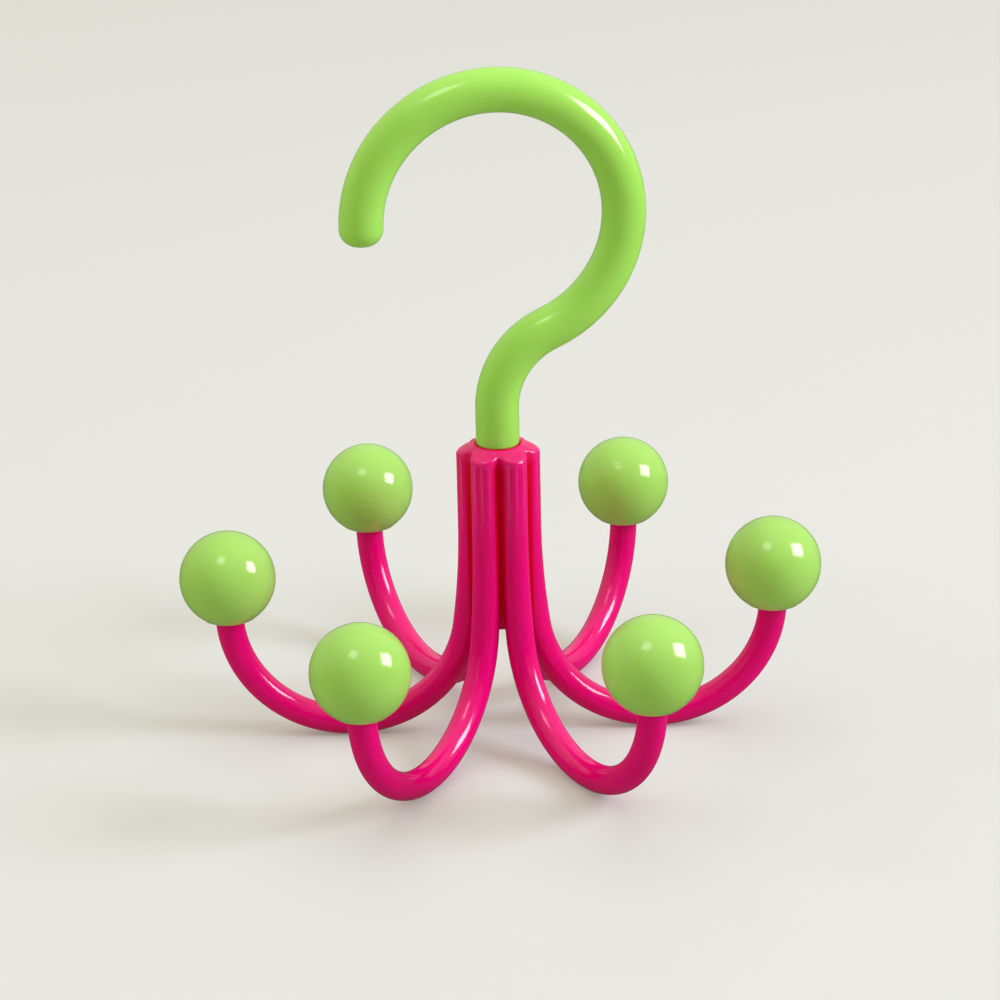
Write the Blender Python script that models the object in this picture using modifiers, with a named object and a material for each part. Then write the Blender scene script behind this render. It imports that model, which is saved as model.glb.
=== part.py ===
"""Rotating closet hook: a claw of six upturned arms with ball knobs, under a hook that swivels in its hub.

Metres, +Z up. The origin is on the swivel axis, at the height of the surface that the arms stand on.
Arm 1 points along +X and the others follow every sixty degrees, anticlockwise from above.
"""

import math

import bmesh
import bpy
from mathutils import Matrix

OBJECT_NAME = "rotating_closet_hook"

# Swivel: a journal under the shank turns in the hub core, held by a washer and a screw from below
JOURNAL_RADIUS = 0.0030
JOURNAL_CLEARANCE = 0.00025
WASHER_OVERLAP = 0.00095
WASHER_CLEARANCE = 0.0003
WASHER_THICKNESS = 0.0008
WASHER_FLOAT = 0.0003
SEAT_CLEARANCE = 0.0002
SCREW_RADIUS = 0.00145
SCREW_LENGTH = 0.0120
SCREW_POINT = 0.0020
SCREW_HEAD_RADIUS = 0.00275
SCREW_HEAD_HEIGHT = 0.0019
SCREW_HEAD_ROUND = 0.0007
SCREW_CLEARANCE = 0.00015
SCREW_TIP_CLEARANCE = 0.0015
RECESS_LENGTH = 0.0030
RECESS_WIDTH = 0.0006
RECESS_DEPTH = 0.0010

# Hub core: the turned middle that the arms are gathered round
POCKET_WALL = 0.00135
POCKET_DEPTH = 0.0060
HUB_ABOVE_FLARE = 0.0187
HUB_BELOW_FLARE = 0.0243
CORE_EDGE = 0.0003

# Arms: round rods, each one flared, bent up through a half turn and standing upright in its knob
ARM_COUNT = 6
ARM_RADIUS = 0.00325
ARM_STANDOFF = 0.0004
FLARE_RADIUS = 0.1783
FLARE_TURN = math.radians(8.13)
BEND_RADIUS = 0.0274
FOOT_FLAT = 0.0002
ROOT_CLEARANCE = 0.0002
ARM_SEAM = 0.0002
KEY_WIDTH = 0.0020
KEY_DEPTH = 0.0012
KEY_LENGTH = 0.0220
KEY_ABOVE_WEB = 0.0030
KEY_CLEARANCE = 0.0002

# Hub top: the arms' ends are cut to one cone round the shank
SHANK_DEPTH = 0.0060
SHANK_CLEARANCE = 0.0002
RIM_LAND = 0.0010
RIM_DROP = 0.0015

# Knobs: two half shells, the lower with a socket for the arm and a flat underside
KNOB_RADIUS = 0.0110
KNOB_FLAT_LAND = 0.0027
KNOB_WALL = 0.0016
KNOB_SEAM = 0.0001
SOCKET_CLEARANCE = 0.00015
SOCKET_WALL = 0.0016
SOCKET_END = 0.0016
ARM_END_CLEARANCE = 0.0003
LIP_DEPTH = 0.0015
LIP_WALL = 0.0008
LIP_CLEARANCE = 0.0004

# Hook: one round rod with a straight shank, an S-bend and a crook with a round tip
ROD_RADIUS = 0.00495
HOOK_NECK = 0.0089
NECK_BEND_RADIUS = 0.0196
NECK_TURN = math.radians(67.0)
RETURN_RADIUS = 0.0285
RETURN_TURN = math.radians(96.9)
CROOK_RADIUS = 0.0293
TIP_STRAIGHT = 0.0003
HOOK_REST_TURN = math.radians(7.8)

# Every cutter runs this far past what it cuts
OVERRUN = 0.0020

# Facets
ARC_STEP = math.radians(9.0)
TIP_STEPS = 4
ARM_RESOLUTION = 4
ROD_RESOLUTION = 6
CORE_STEPS = 32
KNOB_STEPS = 24
KNOB_ARC_STEP = math.radians(15.0)
SHELL_ARC_STEP = math.radians(30.0)
SCREW_STEPS = 16
SHARP_ANGLE = math.radians(40.0)
MERGE_DISTANCE = 0.000001

# Radii from the swivel axis outwards
BORE_RADIUS = JOURNAL_RADIUS + JOURNAL_CLEARANCE
WASHER_RADIUS = BORE_RADIUS + WASHER_OVERLAP
POCKET_RADIUS = WASHER_RADIUS + WASHER_CLEARANCE
CORE_RADIUS = POCKET_RADIUS + POCKET_WALL
ARM_PITCH_RADIUS = CORE_RADIUS + ARM_STANDOFF
SHANK_HOLE_RADIUS = ROD_RADIUS + SHANK_CLEARANCE
PILOT_RADIUS = SCREW_RADIUS + SCREW_CLEARANCE
SOCKET_RADIUS = ARM_RADIUS + SOCKET_CLEARANCE
KNOB_FLAT_RADIUS = SOCKET_RADIUS + KNOB_FLAT_LAND

# The arm's heights and reach, from the floor up
BEND_BOTTOM_Z = ARM_RADIUS - FOOT_FLAT
FLARE_BOTTOM_Z = BEND_BOTTOM_Z + BEND_RADIUS * (1 - math.sin(FLARE_TURN))
FLARE_TOP_Z = FLARE_BOTTOM_Z + FLARE_RADIUS * math.sin(FLARE_TURN)
FLARE_REACH = FLARE_RADIUS * (1 - math.cos(FLARE_TURN))
FOOT_REACH = ARM_PITCH_RADIUS + FLARE_REACH + BEND_RADIUS * math.cos(FLARE_TURN)
KNOB_REACH = FOOT_REACH + BEND_RADIUS
KNOB_FLAT_DROP = math.sqrt(KNOB_RADIUS**2 - KNOB_FLAT_RADIUS**2)
KNOB_Z = BEND_BOTTOM_Z + BEND_RADIUS + KNOB_FLAT_DROP

# The hub's heights
HUB_TOP_Z = FLARE_TOP_Z + HUB_ABOVE_FLARE
HUB_BOTTOM_Z = FLARE_TOP_Z - HUB_BELOW_FLARE
CORE_TOP_Z = HUB_TOP_Z - SHANK_DEPTH - SEAT_CLEARANCE
POCKET_TOP_Z = HUB_BOTTOM_Z + POCKET_DEPTH
SHOULDER_Z = HUB_TOP_Z - SHANK_DEPTH
JOURNAL_END_Z = POCKET_TOP_Z - WASHER_FLOAT
SCREW_SEAT_Z = JOURNAL_END_Z - WASHER_THICKNESS
SCREW_TIP_Z = SCREW_SEAT_Z + SCREW_LENGTH
KEY_BOTTOM_Z = POCKET_TOP_Z + KEY_ABOVE_WEB
KEY_TOP_Z = KEY_BOTTOM_Z + KEY_LENGTH


def clear_scene():
    """Removes every object that the file starts with."""
    for obj in list(bpy.data.objects):
        bpy.data.objects.remove(obj, do_unlink=True)


def new_collection(name):
    """A collection of this name in the scene."""
    collection = bpy.data.collections.new(name)
    bpy.context.scene.collection.children.link(collection)
    return collection


def linear(hex_colour):
    """A hex colour as linear red, green, blue and alpha."""
    channels = [int(hex_colour[i : i + 2], 16) / 255 for i in (1, 3, 5)]
    return [c / 12.92 if c <= 0.04045 else ((c + 0.055) / 1.055) ** 2.4 for c in channels] + [1.0]


def new_material(name, hex_colour, roughness, metallic=0.0):
    """A plain Principled material in the colour of the real finish."""
    material = bpy.data.materials.new(name)
    material.use_nodes = True
    shader = material.node_tree.nodes["Principled BSDF"]
    shader.inputs["Base Color"].default_value = linear(hex_colour)
    shader.inputs["Roughness"].default_value = roughness
    shader.inputs["Metallic"].default_value = metallic
    material.diffuse_color = linear(hex_colour)
    return material


def new_object(name, data, collection, material=None):
    """An object of this data, linked to the collection."""
    obj = bpy.data.objects.new(name, data)
    collection.objects.link(obj)
    if material and not data.materials:
        data.materials.append(material)
    return obj


def smooth(mesh):
    """Round faces shade smooth, and sharper edges stay crisp."""
    mesh.shade_smooth()
    mesh.set_sharp_from_angle(angle=SHARP_ANGLE)


def turned(name, profile, steps, collection, material=None, closed=False):
    """A solid turned round Z. The profile is (radius, height) points that run down the outer side."""
    mesh = bpy.data.meshes.new(name)
    edges = [(i, i + 1) for i in range(len(profile) - 1)]
    if closed:
        edges.append((len(profile) - 1, 0))
    mesh.from_pydata([(radius, 0.0, height) for radius, height in profile], edges, [])
    obj = new_object(name, mesh, collection, material)
    screw = obj.modifiers.new("turn", "SCREW")
    screw.axis = "Z"
    screw.steps = steps
    screw.render_steps = steps
    screw.use_merge_vertices = True
    screw.merge_threshold = MERGE_DISTANCE
    screw.use_smooth_shade = False
    return obj


def block(name, low, high, collection):
    """A box between two corners."""
    mesh = bpy.data.meshes.new(name)
    shape = bmesh.new()
    size = [b - a for a, b in zip(low, high)]
    middle = [(a + b) / 2 for a, b in zip(low, high)]
    place = Matrix.Translation(middle) @ Matrix.Diagonal((*size, 1.0))
    bmesh.ops.create_cube(shape, size=1.0, matrix=place)
    shape.to_mesh(mesh)
    shape.free()
    return new_object(name, mesh, collection)


def rod(name, points, radius, resolution, collection, material=None):
    """A round rod along (x, z, share of the radius) points in the XZ plane, as a closed mesh."""
    curve = bpy.data.curves.new(name, "CURVE")
    curve.dimensions = "3D"
    curve.bevel_depth = radius
    curve.bevel_resolution = resolution
    curve.use_fill_caps = True
    spline = curve.splines.new("POLY")
    spline.points.add(len(points) - 1)
    for point, (x, z, share) in zip(spline.points, points):
        point.co = (x, 0.0, z, 1.0)
        point.radius = share
    guide = new_object(name + "_guide", curve, collection)
    mesh = evaluated_mesh(guide)
    mesh.name = name
    bpy.data.objects.remove(guide, do_unlink=True)
    bpy.data.curves.remove(curve)
    shape = bmesh.new()
    shape.from_mesh(mesh)
    bmesh.ops.remove_doubles(shape, verts=shape.verts, dist=MERGE_DISTANCE)
    bmesh.ops.recalc_face_normals(shape, faces=shape.faces)
    shape.to_mesh(mesh)
    shape.free()
    return new_object(name, mesh, collection, material)


def evaluated_mesh(obj):
    """The object's mesh with its modifiers applied."""
    graph = bpy.context.evaluated_depsgraph_get()
    return bpy.data.meshes.new_from_object(obj.evaluated_get(graph))


def combine(obj, other, operation):
    """Adds a Boolean of the other object, which becomes a helper."""
    other.hide_render = True
    other.display_type = "WIRE"
    modifier = obj.modifiers.new(operation.lower() + " " + other.name, "BOOLEAN")
    modifier.operation = operation
    modifier.object = other
    modifier.solver = "EXACT"


def finish(obj):
    """Applies the object's modifiers and smooths the result."""
    mesh = evaluated_mesh(obj)
    obj.modifiers.clear()
    obj.data = mesh
    mesh.name = obj.name
    smooth(mesh)
    return obj


def path(x, z, heading, runs):
    """Points along straight runs (length) and arcs (radius, turn). A heading is from +Z to +X."""
    points = [(x, z)]
    for run in runs:
        if isinstance(run, float):
            x += run * math.sin(heading)
            z += run * math.cos(heading)
            points.append((x, z))
            continue
        radius, turn = run
        side = math.copysign(radius, turn)
        middle_x = x + side * math.cos(heading)
        middle_z = z - side * math.sin(heading)
        steps = math.ceil(abs(turn) / ARC_STEP)
        for step in range(1, steps + 1):
            angle = heading + turn * step / steps
            x = middle_x - side * math.cos(angle)
            z = middle_z + side * math.sin(angle)
            points.append((x, z))
        heading += turn
    return points


def arc(radius, start, end, step):
    """Points on a circle about the origin, from one angle above the horizontal to another."""
    steps = max(1, round(abs(end - start) / step))
    angles = [start + (end - start) * i / steps for i in range(steps + 1)]
    return [(radius * math.cos(a), radius * math.sin(a)) for a in angles]


def hub_core(parts, cutters, material):
    """The turned core: a bore for the journal, a pocket for the washer and a slot for each arm's key."""
    profile = [
        (BORE_RADIUS, CORE_TOP_Z),
        (CORE_RADIUS - CORE_EDGE, CORE_TOP_Z),
        (CORE_RADIUS, CORE_TOP_Z - CORE_EDGE),
        (CORE_RADIUS, HUB_BOTTOM_Z),
        (POCKET_RADIUS, HUB_BOTTOM_Z),
        (POCKET_RADIUS, POCKET_TOP_Z),
        (BORE_RADIUS, POCKET_TOP_Z),
    ]
    core = turned("hub_core", profile, CORE_STEPS, parts, material, closed=True)
    half_width = KEY_WIDTH / 2 + KEY_CLEARANCE
    low = (CORE_RADIUS - KEY_DEPTH - KEY_CLEARANCE, -half_width, KEY_BOTTOM_Z - KEY_CLEARANCE)
    high = (CORE_RADIUS + OVERRUN, half_width, KEY_TOP_Z + KEY_CLEARANCE)
    for number in range(1, ARM_COUNT + 1):
        slot = block(f"key_slot_{number}", low, high, cutters)
        slot.rotation_euler.z = arm_turn(number)
        combine(core, slot, "DIFFERENCE")
    return finish(core)


def arm_turn(number):
    """The angle of an arm round the swivel axis."""
    return math.tau * (number - 1) / ARM_COUNT


def arm_mesh(cutters, material):
    """One arm along +X: a bent rod whose root is cut to fit round the core and between its neighbours."""
    runs = [
        HUB_TOP_Z + OVERRUN - FLARE_TOP_Z,
        (FLARE_RADIUS, -FLARE_TURN),
        (BEND_RADIUS, FLARE_TURN - math.pi / 2),
        (BEND_RADIUS, -math.pi / 2),
        KNOB_FLAT_DROP,
    ]
    centreline = path(ARM_PITCH_RADIUS, HUB_TOP_Z + OVERRUN, math.pi, runs)
    points = [(x, z, 1.0) for x, z in centreline]
    blank = rod("arm_blank", points, ARM_RADIUS, ARM_RESOLUTION, cutters, material)

    above = HUB_TOP_Z + 2 * OVERRUN
    root_radius = CORE_RADIUS + ROOT_CLEARANCE
    lip_z = CORE_TOP_Z + ROOT_CLEARANCE
    core_space = [
        (0.0, above),
        (SHANK_HOLE_RADIUS, above),
        (SHANK_HOLE_RADIUS, lip_z),
        (root_radius, lip_z),
        (root_radius, HUB_BOTTOM_Z - ROOT_CLEARANCE),
        (0.0, HUB_BOTTOM_Z - ROOT_CLEARANCE),
    ]
    outer = ARM_PITCH_RADIUS + ARM_RADIUS
    rim_radius = SHANK_HOLE_RADIUS + RIM_LAND
    slope = RIM_DROP / (outer - rim_radius)
    cutter_radius = outer + OVERRUN
    cone_space = [
        (0.0, above),
        (cutter_radius, above),
        (cutter_radius, HUB_TOP_Z - slope * (cutter_radius - rim_radius)),
        (rim_radius, HUB_TOP_Z),
        (0.0, HUB_TOP_Z),
    ]
    spaces = [
        turned("core_space", core_space, CORE_STEPS, cutters),
        turned("cone_space", cone_space, CORE_STEPS, cutters),
    ]
    side_low = (-OVERRUN, -ARM_SEAM / 2, HUB_BOTTOM_Z)
    side_high = (cutter_radius, ARM_RADIUS + OVERRUN, above)
    left = block("left_neighbour_space", side_low, side_high, cutters)
    left.rotation_euler.z = math.pi / ARM_COUNT
    right_low = (side_low[0], -side_high[1], side_low[2])
    right_high = (side_high[0], -side_low[1], side_high[2])
    right = block("right_neighbour_space", right_low, right_high, cutters)
    right.rotation_euler.z = -math.pi / ARM_COUNT
    foot_low = (FOOT_REACH - BEND_RADIUS / 2, -ARM_RADIUS - OVERRUN, -OVERRUN)
    foot_high = (FOOT_REACH + BEND_RADIUS / 2, ARM_RADIUS + OVERRUN, 0.0)
    spaces += [left, right, block("floor_space", foot_low, foot_high, cutters)]
    for space in spaces:
        combine(blank, space, "DIFFERENCE")

    key_low = (CORE_RADIUS - KEY_DEPTH, -KEY_WIDTH / 2, KEY_BOTTOM_Z)
    key_high = (ARM_PITCH_RADIUS + ARM_RADIUS / 2, KEY_WIDTH / 2, KEY_TOP_Z)
    combine(blank, block("arm_key", key_low, key_high, cutters), "UNION")
    return take_mesh("arm", blank)


def knob_cup_profile():
    """The lower half of a knob: its flat underside, the socket for the arm's end and the rim."""
    flat_angle = -math.acos(KNOB_FLAT_RADIUS / KNOB_RADIUS)
    inner_radius = KNOB_RADIUS - KNOB_WALL
    boss_radius = SOCKET_RADIUS + SOCKET_WALL
    floor_angle = -math.acos(boss_radius / inner_radius)
    socket_top = ARM_END_CLEARANCE
    boss_top = socket_top + SOCKET_END
    boss = [(0.0, boss_top), (boss_radius, boss_top)]
    inside = arc(inner_radius, floor_angle, 0.0, SHELL_ARC_STEP)
    outside = arc(KNOB_RADIUS, 0.0, flat_angle, KNOB_ARC_STEP)
    socket = [(SOCKET_RADIUS, outside[-1][1]), (SOCKET_RADIUS, socket_top), (0.0, socket_top)]
    return boss + inside + outside + socket


def knob_cap_profile():
    """The upper half of a knob: a dome with a lip that sits inside the cup's rim."""
    inner_radius = KNOB_RADIUS - KNOB_WALL
    lip_outer = inner_radius - LIP_CLEARANCE
    lip_inner = lip_outer - LIP_WALL
    rim_angle = math.asin(KNOB_SEAM / KNOB_RADIUS)
    lip_angle = math.acos(lip_inner / inner_radius)
    outside = arc(KNOB_RADIUS, math.pi / 2, rim_angle, KNOB_ARC_STEP)
    outside[0] = (0.0, KNOB_RADIUS)
    lip = [(lip_outer, KNOB_SEAM), (lip_outer, -LIP_DEPTH), (lip_inner, -LIP_DEPTH)]
    inside = arc(inner_radius, lip_angle, math.pi / 2, SHELL_ARC_STEP)
    inside[-1] = (0.0, inner_radius)
    return outside + lip + inside


def take_mesh(name, blank):
    """The blank's finished mesh, for copies to share. The blank itself goes."""
    mesh = finish(blank).data
    mesh.name = name
    bpy.data.objects.remove(blank, do_unlink=True)
    return mesh


def claw(parts, cutters, arm_material, knob_material):
    """The six arms with their knobs, each a copy turned round the swivel axis."""
    arm = arm_mesh(cutters, arm_material)
    cup_blank = turned("cup_blank", knob_cup_profile(), KNOB_STEPS, cutters, knob_material)
    cap_blank = turned("cap_blank", knob_cap_profile(), KNOB_STEPS, cutters, knob_material)
    cup = take_mesh("knob_cup", cup_blank)
    cap = take_mesh("knob_cap", cap_blank)
    pieces = []
    for number in range(1, ARM_COUNT + 1):
        turn = arm_turn(number)
        arm_copy = new_object(f"arm_{number}", arm, parts)
        arm_copy.rotation_euler.z = turn
        pieces.append(arm_copy)
        for name, mesh in (("knob_cup", cup), ("knob_cap", cap)):
            half = new_object(f"{name}_{number}", mesh, parts)
            half.location = (KNOB_REACH * math.cos(turn), KNOB_REACH * math.sin(turn), KNOB_Z)
            half.rotation_euler.z = turn
            pieces.append(half)
    return pieces


def swivel_hook(parts, cutters, material):
    """The hook in its own plane: the bent rod, the journal under it and the screw's pilot hole."""
    crook_turn = math.pi + NECK_TURN - RETURN_TURN
    runs = [
        SHANK_DEPTH + HOOK_NECK,
        (NECK_BEND_RADIUS, NECK_TURN),
        (RETURN_RADIUS, -RETURN_TURN),
        (CROOK_RADIUS, -crook_turn),
        TIP_STRAIGHT,
    ]
    centreline = path(0.0, SHOULDER_Z, 0.0, runs)
    points = [(x, z, 1.0) for x, z in centreline]
    tip_x, tip_z = centreline[-1]
    for step in range(1, TIP_STEPS + 1):
        angle = math.pi / 2 * step / (TIP_STEPS + 1)
        points.append((tip_x, tip_z - ROD_RADIUS * math.sin(angle), math.cos(angle)))
    points.append((tip_x, tip_z - ROD_RADIUS, math.cos(angle) / TIP_STEPS))
    hook = rod("swivel_hook", points, ROD_RADIUS, ROD_RESOLUTION, parts, material)

    journal = [
        (0.0, HUB_TOP_Z),
        (JOURNAL_RADIUS, HUB_TOP_Z),
        (JOURNAL_RADIUS, JOURNAL_END_Z),
        (0.0, JOURNAL_END_Z),
    ]
    combine(hook, turned("journal", journal, CORE_STEPS, cutters), "UNION")
    pilot = [
        (0.0, SCREW_TIP_Z + SCREW_TIP_CLEARANCE),
        (PILOT_RADIUS, SCREW_TIP_Z + SCREW_TIP_CLEARANCE),
        (PILOT_RADIUS, JOURNAL_END_Z - OVERRUN),
        (0.0, JOURNAL_END_Z - OVERRUN),
    ]
    combine(hook, turned("pilot_hole", pilot, SCREW_STEPS, cutters), "DIFFERENCE")
    return finish(hook)


def retaining_washer(parts, material):
    """A flat washer clamped on the journal's end, under the core's web."""
    profile = [
        (PILOT_RADIUS, JOURNAL_END_Z),
        (WASHER_RADIUS, JOURNAL_END_Z),
        (WASHER_RADIUS, SCREW_SEAT_Z),
        (PILOT_RADIUS, SCREW_SEAT_Z),
    ]
    return finish(turned("retaining_washer", profile, KNOB_STEPS, parts, material, closed=True))


def retaining_screw(parts, cutters, material):
    """A pan-head screw driven up into the journal, with a cross recess in its head."""
    bottom = SCREW_SEAT_Z - SCREW_HEAD_HEIGHT
    rounding = [
        (SCREW_HEAD_RADIUS - SCREW_HEAD_ROUND + x, bottom + SCREW_HEAD_ROUND + z)
        for x, z in arc(SCREW_HEAD_ROUND, 0.0, -math.pi / 2, SHELL_ARC_STEP)
    ]
    profile = [
        (0.0, SCREW_TIP_Z),
        (SCREW_RADIUS, SCREW_TIP_Z - SCREW_POINT),
        (SCREW_RADIUS, SCREW_SEAT_Z),
        (SCREW_HEAD_RADIUS, SCREW_SEAT_Z),
        *rounding,
        (0.0, bottom),
    ]
    screw = turned("retaining_screw", profile, SCREW_STEPS, parts, material)
    recess_low = (-RECESS_LENGTH / 2, -RECESS_WIDTH / 2, bottom - OVERRUN)
    recess_high = (RECESS_LENGTH / 2, RECESS_WIDTH / 2, bottom + RECESS_DEPTH)
    for number, turn in enumerate((0.0, math.pi / 2), start=1):
        recess = block(f"recess_{number}", recess_low, recess_high, cutters)
        recess.rotation_euler.z = turn
        combine(screw, recess, "DIFFERENCE")
    return finish(screw)


def frame_on_axis(name, parts, turn, pieces):
    """An empty at the origin, which is on the swivel axis, that carries these pieces."""
    frame = new_object(name, None, parts)
    frame.rotation_euler.z = turn
    for piece in pieces:
        piece.parent = frame


def main():
    clear_scene()
    parts = new_collection(OBJECT_NAME)
    cutters = new_collection(OBJECT_NAME + "_cutters")
    lime = new_material("lime_gloss_plastic", "#96D25A", 0.22)
    magenta = new_material("magenta_gloss_plastic", "#D7146A", 0.25)
    steel = new_material("zinc_plated_steel", "#B9BBBD", 0.35, metallic=1.0)

    claw_pieces = [hub_core(parts, cutters, magenta)] + claw(parts, cutters, magenta, lime)
    frame_on_axis("claw_frame", parts, 0.0, claw_pieces)
    hook_pieces = [
        swivel_hook(parts, cutters, lime),
        retaining_washer(parts, steel),
        retaining_screw(parts, cutters, steel),
    ]
    frame_on_axis("swivel_axis", parts, HOOK_REST_TURN, hook_pieces)


main()
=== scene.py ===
"""Looks of the rotating closet hook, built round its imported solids.

Metres, +Z up, in the solids' own frame: the swivel axis is +Z through the origin, and the arms stand on
z = 0. Arm 1 points along +X, and the others follow every sixty degrees, anticlockwise from above.
"""

import math

import bmesh
import bpy
from mathutils import Matrix, Vector


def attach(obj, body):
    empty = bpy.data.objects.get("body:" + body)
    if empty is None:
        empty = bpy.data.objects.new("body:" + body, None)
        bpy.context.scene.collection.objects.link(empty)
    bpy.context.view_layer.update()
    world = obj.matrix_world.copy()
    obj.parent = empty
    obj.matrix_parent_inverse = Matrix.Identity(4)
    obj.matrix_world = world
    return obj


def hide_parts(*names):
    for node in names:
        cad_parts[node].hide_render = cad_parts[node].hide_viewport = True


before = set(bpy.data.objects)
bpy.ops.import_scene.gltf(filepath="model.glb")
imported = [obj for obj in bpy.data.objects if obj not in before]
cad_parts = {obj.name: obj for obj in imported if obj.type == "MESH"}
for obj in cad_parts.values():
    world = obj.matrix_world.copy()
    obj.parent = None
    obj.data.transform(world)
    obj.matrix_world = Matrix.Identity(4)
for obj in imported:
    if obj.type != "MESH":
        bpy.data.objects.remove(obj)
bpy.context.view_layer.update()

MM = 0.001

# Sizes of the solids, as the part's source works them out
ARM_COUNT = 6
ARM_RADIUS = 3.25 * MM
ARM_PITCH_RADIUS = 6.25 * MM
FLARE_RADIUS = 178.3 * MM
FLARE_TURN = math.radians(8.13)
FLARE_TOP_Z = 51.79 * MM
BEND_RADIUS = 27.4 * MM
HUB_TOP_Z = 70.49 * MM
HUB_BOTTOM_Z = 27.49 * MM
CORE_RADIUS = 5.85 * MM
CORE_TOP_Z = 64.29 * MM
BORE_RADIUS = 3.25 * MM
POCKET_RADIUS = 4.5 * MM
POCKET_TOP_Z = 33.49 * MM
ROOT_CLEARANCE = 0.2 * MM
RIM_RADIUS = 6.15 * MM
RIM_DROP = 1.5 * MM
RIM_SLOPE = RIM_DROP / (ARM_PITCH_RADIUS + ARM_RADIUS - RIM_RADIUS)
KEY_WIDTH = 2.0 * MM
KEY_DEPTH = 1.2 * MM
KEY_BOTTOM_Z = 36.49 * MM
KEY_TOP_Z = 58.49 * MM
KEY_CLEARANCE = 0.2 * MM
KNOB_RADIUS = 10.999 * MM
KNOB_REACH = 62.567 * MM
KNOB_Z = 39.604 * MM
KNOB_FLAT_RADIUS = 6.1 * MM
KNOB_WALL = 1.6 * MM
KNOB_SEAM = 0.01 * MM
SOCKET_RADIUS = 3.4 * MM
SOCKET_WALL = 1.6 * MM
SOCKET_TOP = 0.3 * MM
SOCKET_END = 1.6 * MM
LIP_DEPTH = 1.5 * MM
LIP_WALL = 0.8 * MM
LIP_CLEARANCE = 0.4 * MM
ROD_RADIUS = 4.938 * MM
SHOULDER_Z = 64.49 * MM
HOOK_NECK = 8.9 * MM
NECK_BEND_RADIUS = 19.6 * MM
NECK_TURN = math.radians(67.0)
RETURN_RADIUS = 28.5 * MM
RETURN_TURN = math.radians(96.9)
CROOK_RADIUS = 29.3 * MM
HOOK_REST_TURN = math.radians(7.8)
JOURNAL_RADIUS = 3.0 * MM
JOURNAL_END_Z = 33.19 * MM
WASHER_RADIUS = 4.2 * MM
WASHER_THICKNESS = 0.8 * MM
PILOT_RADIUS = 1.6 * MM
PILOT_TOP_Z = 45.89 * MM
SCREW_TIP_Z = 44.39 * MM
SCREW_RADIUS = 1.45 * MM
SCREW_HEAD_RADIUS = 2.75 * MM
SCREW_HEAD_HEIGHT = 1.9 * MM
SCREW_POINT = 2.0 * MM
RECESS_REACH = 1.5 * MM
RECESS_HALF_WIDTH = 0.3 * MM
RECESS_DEPTH = 1.0 * MM

# What the solids leave out of the screw: its domed head and its thread
SCREW_CROWN = 1.1 * MM
THREAD_DEPTH = 0.3 * MM
THREAD_PITCH = 1.1 * MM
THREAD_START = 1.2 * MM

# What moulding leaves on the real pieces: the parting ridge of the rods
RIDGE_HEIGHT = 0.01 * MM
RIDGE_HALF_WIDTH = 0.14 * MM

# The hub's crown: its cone, its rounded edge and the fillets of the grooves between the rods
CROWN_RISE = 0.3 * MM
CROWN_TOP_Z = HUB_TOP_Z + CROWN_RISE
CROWN_HOLE_RADIUS = 5.03 * MM
CROWN_MELT = 1.3 * MM
CROWN_FADE_Z = 66.5 * MM
SHOULDER_ROUND = 0.7 * MM
RIM_ROUND = 0.12 * MM
GROOVE_MELT = 0.8 * MM
GROOVE_FADE_Z = 44.0 * MM
SEAM_GAP = 0.002 * MM

# The core's fins in the slits between the arms
FIN_TOP_REACH = 6.85 * MM
FIN_FOOT_REACH = 6.3 * MM
FIN_WIDTH = 2.0 * MM
FIN_TOP_Z = 52.0 * MM

# The hook's foot and tip
FOOT_Z = 71.15 * MM
FOOT_ROUND = 0.3 * MM
SPIGOT_RADIUS = 4.45 * MM
TIP_ROUND = 3.85 * MM
TIP_DOME = 0.1 * MM

# Other roundings
END_ROUND = 0.5 * MM
SEAM_ROUND = 0.04 * MM
KNOB_FLAT_ROUND = 0.45 * MM
EDGE_ROUND = 0.25 * MM

# The smallest step along a line of points, so that two rings can stand at one height
NUDGE = 0.001 * MM
# How far a cutter reaches past what it cuts
OVERRUN = 2.0 * MM

# Facets
ARM_SIDES = 96
ROD_SIDES = 96
TURN_STEPS = 96
BEND_STEP = math.radians(2.0)
FLARE_STEP = math.radians(0.5)
ROUND_STEPS = 6
SHARP_ANGLE = math.radians(35.0)

workshop = bpy.data.collections.new("workshop")
bpy.context.scene.collection.children.link(workshop)


def new_piece(name, data):
    """An object of this data, at the origin."""
    obj = bpy.data.objects.new(name, data)
    workshop.objects.link(obj)
    return obj


def drop(*objects):
    """Removes helpers that have done their work."""
    for obj in objects:
        bpy.data.objects.remove(obj, do_unlink=True)


def settle(obj):
    """Turns the object's modifiers into a plain mesh whose faces point outwards."""
    graph = bpy.context.evaluated_depsgraph_get()
    mesh = bpy.data.meshes.new_from_object(obj.evaluated_get(graph))
    shape = bmesh.new()
    shape.from_mesh(mesh)
    bmesh.ops.remove_doubles(shape, verts=shape.verts, dist=NUDGE / 20)
    bmesh.ops.recalc_face_normals(shape, faces=shape.faces)
    shape.to_mesh(mesh)
    shape.free()
    obj.modifiers.clear()
    obj.data = mesh
    mesh.name = obj.name
    mesh.shade_smooth()
    mesh.set_sharp_from_angle(angle=SHARP_ANGLE)
    return obj


def place(obj, matrix):
    """Moves the vertices, so that the object itself stays at the origin."""
    obj.data.transform(matrix)
    return obj


# Lines of points


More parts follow.
